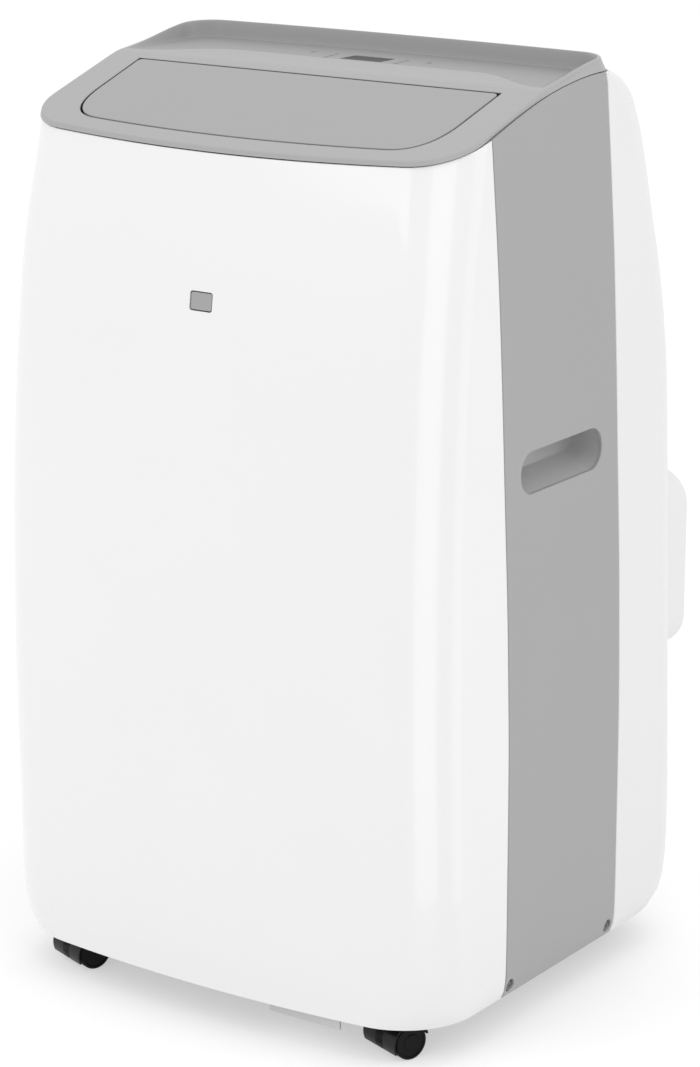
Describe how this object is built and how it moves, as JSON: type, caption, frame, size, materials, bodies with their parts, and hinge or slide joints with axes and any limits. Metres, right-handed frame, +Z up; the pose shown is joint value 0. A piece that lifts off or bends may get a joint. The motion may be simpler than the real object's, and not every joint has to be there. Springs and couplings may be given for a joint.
{
  "type": "portable air conditioner",
  "caption": "Tall white and grey portable air conditioner on castors, with a sloping top outlet flap, steering vanes, side grips, rear filters and a round exhaust port.",
  "frame": {"origin": "on the floor under the middle of the cabinet: centre of the footprint box, at the height the castor wheels stand on", "axes": "+Z up; the bulging white front and the low end of the top face -Y; +X is the right side seen from the front"},
  "size_m": [0.398, 0.417, 0.7025],
  "materials": {
    "front_white": "gloss white",
    "rear_white": "satin white",
    "side_grey": "fine satin mid grey",
    "cover_grey": "fine satin light grey",
    "screw_steel": "plated",
    "receiver_lens": "smoked translucent, gloss",
    "display_lens": "smoked, gloss",
    "duct_grey": "moulded",
    "pan_black": "moulded",
    "bracket_grey": "satin",
    "collar_grey": "moulded",
    "net": "woven",
    "rubber_black": "matt",
    "fins": "bare fins",
    "wheel_black": "moulded",
    "zinc": "zinc coated",
    "compressor_paint": "semi-gloss black",
    "copper": "bare copper tube",
    "board": "circuit board",
    "castor_black": "moulded",
    "castor_tread": "hard tread"
  },
  "bodies": {
    "cabinet": {"front_panel": "front_white", "rear_panel": "rear_white", "exhaust_plinth": "rear_white", "side_panel_right": "side_grey", "side_panel_left": "side_grey", "grip_pocket_right": "side_grey", "grip_pocket_left": "side_grey", "side_screw_right_front": "screw_steel", "side_screw_left_front": "screw_steel", "side_screw_right_rear": "screw_steel", "side_screw_left_rear": "screw_steel", "remote_receiver_window": "receiver_lens", "top_cover": "cover_grey", "display_window": "display_lens", "control_board": "board", "base_pan": "pan_black", "base_bracket": "bracket_grey", "middle_tray": "pan_black", "outlet_duct": "duct_grey", "vane_motor": "zinc", "flap_motor": "wheel_black", "cord_gland": "rubber_black", "exhaust_collar": "collar_grey", "evaporator_coil": "fins", "condenser_coil": "fins", "evaporator_fan_housing": "duct_grey", "condenser_fan_housing": "pan_black", "exhaust_duct": "pan_black", "evaporator_fan_motor": "zinc", "condenser_fan_motor": "zinc", "compressor": "compressor_paint", "accumulator": "compressor_paint", "discharge_pipe": "copper", "suction_pipe": "copper", "electrical_box": "zinc"},
    "flap": {"outlet_flap": "cover_grey"},
    "vane_link": {"vane_link_bar": "duct_grey"},
    "evaporator_fan": {"evaporator_fan_wheel": "wheel_black"},
    "condenser_fan": {"condenser_fan_wheel": "wheel_black"},
    "upper_filter": {"upper_filter_grille": "rear_white", "upper_filter_net": "net"},
    "lower_filter": {"lower_filter_grille": "rear_white", "lower_filter_net": "net"},
    "upper_drain": {"upper_drain_plug": "rubber_black"},
    "lower_drain": {"lower_drain_plug": "rubber_black"},
    "vane_1": {"steering_vane_1": "duct_grey"},
    "vane_2": {"steering_vane_2": "duct_grey"},
    "vane_3": {"steering_vane_3": "duct_grey"},
    "vane_4": {"steering_vane_4": "duct_grey"},
    "vane_5": {"steering_vane_5": "duct_grey"},
    "vane_6": {"steering_vane_6": "duct_grey"},
    "castor_front_left": {"castor_frame_front_left": "castor_black"},
    "castor_wheel_front_left": {"castor_wheels_front_left": "castor_tread"},
    "castor_front_right": {"castor_frame_front_right": "castor_black"},
    "castor_wheel_front_right": {"castor_wheels_front_right": "castor_tread"},
    "castor_rear_left": {"castor_frame_rear_left": "castor_black"},
    "castor_wheel_rear_left": {"castor_wheels_rear_left": "castor_tread"},
    "castor_rear_right": {"castor_frame_rear_right": "castor_black"},
    "castor_wheel_rear_right": {"castor_wheels_rear_right": "castor_tread"}
  },
  "joints": [
    {"name": "flap_hinge", "type": "hinge", "parent": "cabinet", "child": "flap", "pos_m": [0, -0.07167, 0.67166], "axis": [-1, 0, 0], "range_deg": [0, 65]},
    {"name": "vane_1_pivot", "type": "hinge", "parent": "cabinet", "child": "vane_1", "pos_m": [-0.13, -0.08941, 0.61154], "axis": [0, -0.3007, 0.9537], "range_deg": [-30, 30]},
    {"name": "vane_2_pivot", "type": "hinge", "parent": "cabinet", "child": "vane_2", "pos_m": [-0.078, -0.08941, 0.61154], "axis": [0, -0.3007, 0.9537], "range_deg": [-30, 30]},
    {"name": "vane_3_pivot", "type": "hinge", "parent": "cabinet", "child": "vane_3", "pos_m": [-0.026, -0.08941, 0.61154], "axis": [0, -0.3007, 0.9537], "range_deg": [-30, 30]},
    {"name": "vane_4_pivot", "type": "hinge", "parent": "cabinet", "child": "vane_4", "pos_m": [0.026, -0.08941, 0.61154], "axis": [0, -0.3007, 0.9537], "range_deg": [-30, 30]},
    {"name": "vane_5_pivot", "type": "hinge", "parent": "cabinet", "child": "vane_5", "pos_m": [0.078, -0.08941, 0.61154], "axis": [0, -0.3007, 0.9537], "range_deg": [-30, 30]},
    {"name": "vane_6_pivot", "type": "hinge", "parent": "cabinet", "child": "vane_6", "pos_m": [0.13, -0.08941, 0.61154], "axis": [0, -0.3007, 0.9537], "range_deg": [-30, 30]},
    {"name": "vane_link_pivot", "type": "hinge", "parent": "vane_1", "child": "vane_link", "pos_m": [-0.13, -0.06982, 0.64917], "axis": [0, -0.3007, 0.9537], "range_deg": [-30, 30]},
    {"name": "evaporator_fan_spin", "type": "hinge", "parent": "cabinet", "child": "evaporator_fan", "pos_m": [0, -0.1, 0.4575], "axis": [0, 1, 0], "continuous": true},
    {"name": "condenser_fan_spin", "type": "hinge", "parent": "cabinet", "child": "condenser_fan", "pos_m": [0, 0.02, 0.1525], "axis": [0, 1, 0], "continuous": true},
    {"name": "upper_filter_slide", "type": "slide", "parent": "cabinet", "child": "upper_filter", "axis": [0, 1, 0], "range_m": [0, 0.12]},
    {"name": "lower_filter_slide", "type": "slide", "parent": "cabinet", "child": "lower_filter", "axis": [0, 1, 0], "range_m": [0, 0.12]},
    {"name": "upper_drain_slide", "type": "slide", "parent": "cabinet", "child": "upper_drain", "axis": [0, 1, 0], "range_m": [0, 0.03]},
    {"name": "lower_drain_slide", "type": "slide", "parent": "cabinet", "child": "lower_drain", "axis": [0, 1, 0], "range_m": [0, 0.03]},
    {"name": "castor_front_left_swivel", "type": "hinge", "parent": "cabinet", "child": "castor_front_left", "pos_m": [-0.146, -0.172, 0.03], "axis": [0, 0, 1], "continuous": true},
    {"name": "castor_front_left_roll", "type": "hinge", "parent": "castor_front_left", "child": "castor_wheel_front_left", "pos_m": [-0.14326, -0.16448, 0.0132], "axis": [0.9397, -0.342, 0], "continuous": true},
    {"name": "castor_front_right_swivel", "type": "hinge", "parent": "cabinet", "child": "castor_front_right", "pos_m": [0.146, -0.172, 0.03], "axis": [0, 0, 1], "continuous": true},
    {"name": "castor_front_right_roll", "type": "hinge", "parent": "castor_front_right", "child": "castor_wheel_front_right", "pos_m": [0.14874, -0.16448, 0.0132], "axis": [0.9397, -0.342, 0], "continuous": true},
    {"name": "castor_rear_left_swivel", "type": "hinge", "parent": "cabinet", "child": "castor_rear_left", "pos_m": [-0.112, 0.128, 0.03], "axis": [0, 0, 1], "continuous": true},
    {"name": "castor_rear_left_roll", "type": "hinge", "parent": "castor_rear_left", "child": "castor_wheel_rear_left", "pos_m": [-0.10926, 0.13552, 0.0132], "axis": [0.9397, -0.342, 0], "continuous": true},
    {"name": "castor_rear_right_swivel", "type": "hinge", "parent": "cabinet", "child": "castor_rear_right", "pos_m": [0.112, 0.128, 0.03], "axis": [0, 0, 1], "continuous": true},
    {"name": "castor_rear_right_roll", "type": "hinge", "parent": "castor_rear_right", "child": "castor_wheel_rear_right", "pos_m": [0.11474, 0.13552, 0.0132], "axis": [0.9397, -0.342, 0], "continuous": true}
  ],
  "couplings": [
    {"joint": "vane_2_pivot", "follows": "vane_1_pivot", "ratio": 1},
    {"joint": "vane_3_pivot", "follows": "vane_1_pivot", "ratio": 1},
    {"joint": "vane_4_pivot", "follows": "vane_1_pivot", "ratio": 1},
    {"joint": "vane_5_pivot", "follows": "vane_1_pivot", "ratio": 1},
    {"joint": "vane_6_pivot", "follows": "vane_1_pivot", "ratio": 1},
    {"joint": "vane_link_pivot", "follows": "vane_1_pivot", "ratio": -1}
  ]
}
